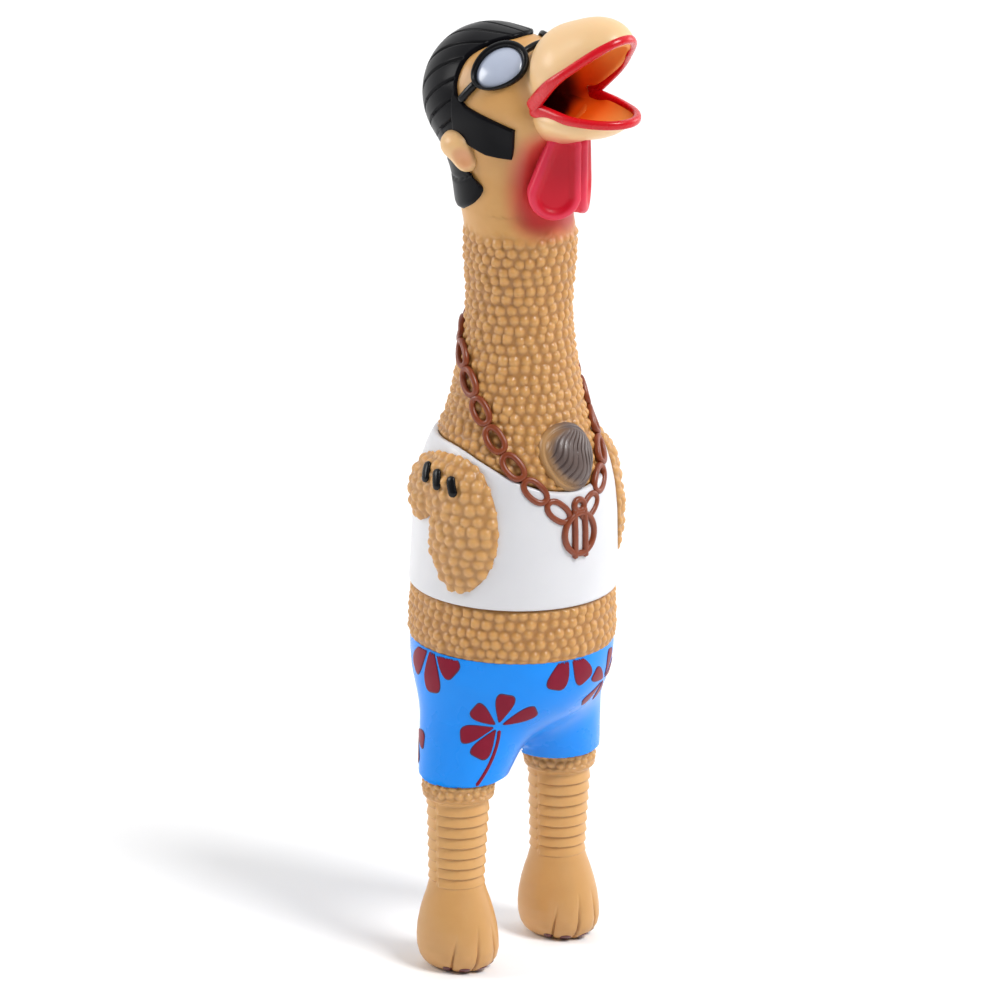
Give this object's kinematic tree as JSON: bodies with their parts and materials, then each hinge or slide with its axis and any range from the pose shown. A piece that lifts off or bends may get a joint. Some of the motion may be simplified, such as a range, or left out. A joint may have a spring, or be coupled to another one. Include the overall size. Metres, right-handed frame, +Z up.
{
  "type": "rubber chicken",
  "caption": "Standing hollow rubber chicken with open beak, painted clothes and a squawker; neck, jaw, wings, hips and ankles flex on sprung joints.",
  "frame": {"origin": "on the floor under the centre of the bounding box, between the two soles", "axes": "+Z up along the body, the chicken faces -Y, its right side is on -X"},
  "size_m": [0.101, 0.126, 0.4308],
  "materials": {
    "skin_latex": "soft matt tan latex, paler on the crowns of the nubs, browner between them",
    "beak_paint": "pale peach latex with a soft gloss",
    "shorts_paint": "glossy bright blue paint with dark red flowers on latex",
    "shirt_paint": "satin off-white paint on latex",
    "tuft_paint": "matt grey-brown paint on grooved latex",
    "chain_paint": "bronze-brown paint on raised latex",
    "black_paint": "glossy black paint on latex",
    "lens_paint": "glossy grey-blue paint on latex",
    "red_paint": "glossy crimson paint on latex",
    "mouth_paint": "satin orange paint that darkens into the throat",
    "nail_paint": "satin maroon paint",
    "squawker_plastic": "plain moulded ivory plastic",
    "reed_metal": "thin rolled strip",
    "clip_steel": "plain spring steel"
  },
  "bodies": {
    "torso": {"torso_skin": "skin_latex", "shorts": "shorts_paint", "tank_top": "shirt_paint", "chest_tuft": "tuft_paint", "chain_links": "chain_paint", "pendant": "chain_paint", "squawker_housing": "squawker_plastic", "squawker_grille": "squawker_plastic", "squawker_ring": "clip_steel", "reed_plate": "squawker_plastic", "reed_clamp": "clip_steel"},
    "reed": {"reed_tongue": "reed_metal"},
    "neck_lower": {"neck_lower_skin": "skin_latex", "chain_links_upper": "chain_paint"},
    "neck_upper": {"neck_upper_skin": "skin_latex"},
    "head": {"head_skin": "skin_latex", "hair_cap": "black_paint", "right_sideburn": "black_paint", "left_sideburn": "black_paint", "right_ear": "skin_latex", "left_ear": "skin_latex", "sunglasses_frame": "black_paint", "right_lens": "lens_paint", "left_lens": "lens_paint", "right_wattle": "red_paint", "left_wattle": "red_paint", "upper_beak": "beak_paint", "upper_lip": "red_paint", "mouth_lining": "mouth_paint"},
    "jaw": {"lower_beak": "beak_paint", "lower_lip": "red_paint"},
    "wing_right": {"right_wing": "skin_latex", "arm_marks": "black_paint"},
    "wing_left": {"left_wing": "skin_latex"},
    "leg_right": {"right_leg": "skin_latex"},
    "leg_left": {"left_leg": "skin_latex"},
    "foot_right": {"right_foot": "skin_latex", "right_toe_nails": "nail_paint"},
    "foot_left": {"left_foot": "skin_latex", "left_toe_nails": "nail_paint"}
  },
  "joints": [
    {"name": "neck_bend", "type": "hinge", "parent": "torso", "child": "neck_lower", "pos_m": [0, 0.01145, 0.262], "axis": [1, 0, 0], "range_deg": [-18, 18], "stiffness_Nm_per_rad": 1.5},
    {"name": "neck_sway", "type": "hinge", "parent": "neck_lower", "child": "neck_upper", "pos_m": [0, 0.01145, 0.3], "axis": [0, 1, 0], "range_deg": [-22, 22], "stiffness_Nm_per_rad": 1.2},
    {"name": "head_turn", "type": "hinge", "parent": "neck_upper", "child": "head", "pos_m": [0, 0.01145, 0.333], "axis": [0, 0, 1], "range_deg": [-30, 30], "stiffness_Nm_per_rad": 0.8},
    {"name": "jaw_flex", "type": "hinge", "parent": "head", "child": "jaw", "pos_m": [0, -0.01255, 0.394], "axis": [1, 0, 0], "range_deg": [-8, 10], "stiffness_Nm_per_rad": 0.2},
    {"name": "right_wing_flap", "type": "hinge", "parent": "torso", "child": "wing_right", "pos_m": [-0.04333, 0.01909, 0.229], "axis": [0.1736, 0.9848, 0], "range_deg": [0, 35], "stiffness_Nm_per_rad": 0.2},
    {"name": "left_wing_flap", "type": "hinge", "parent": "torso", "child": "wing_left", "pos_m": [0.04333, 0.00381, 0.229], "axis": [-0.1736, -0.9848, 0], "range_deg": [0, 35], "stiffness_Nm_per_rad": 0.2},
    {"name": "right_hip_swing", "type": "hinge", "parent": "torso", "child": "leg_right", "pos_m": [-0.032, 0.01145, 0.084], "axis": [1, 0, 0], "range_deg": [-25, 25], "stiffness_Nm_per_rad": 3},
    {"name": "left_hip_swing", "type": "hinge", "parent": "torso", "child": "leg_left", "pos_m": [0.032, 0.01145, 0.084], "axis": [1, 0, 0], "range_deg": [-25, 25], "stiffness_Nm_per_rad": 3},
    {"name": "right_ankle_flex", "type": "hinge", "parent": "leg_right", "child": "foot_right", "pos_m": [-0.032, 0.01145, 0.039], "axis": [1, 0, 0], "range_deg": [-18, 18], "stiffness_Nm_per_rad": 3},
    {"name": "left_ankle_flex", "type": "hinge", "parent": "leg_left", "child": "foot_left", "pos_m": [0.032, 0.01145, 0.039], "axis": [1, 0, 0], "range_deg": [-18, 18], "stiffness_Nm_per_rad": 3},
    {"name": "reed_flutter", "type": "hinge", "parent": "torso", "child": "reed", "pos_m": [0, 0.02105, 0.1101], "axis": [-1, 0, 0], "range_deg": [0, 4], "stiffness_Nm_per_rad": 0.002}
  ]
}
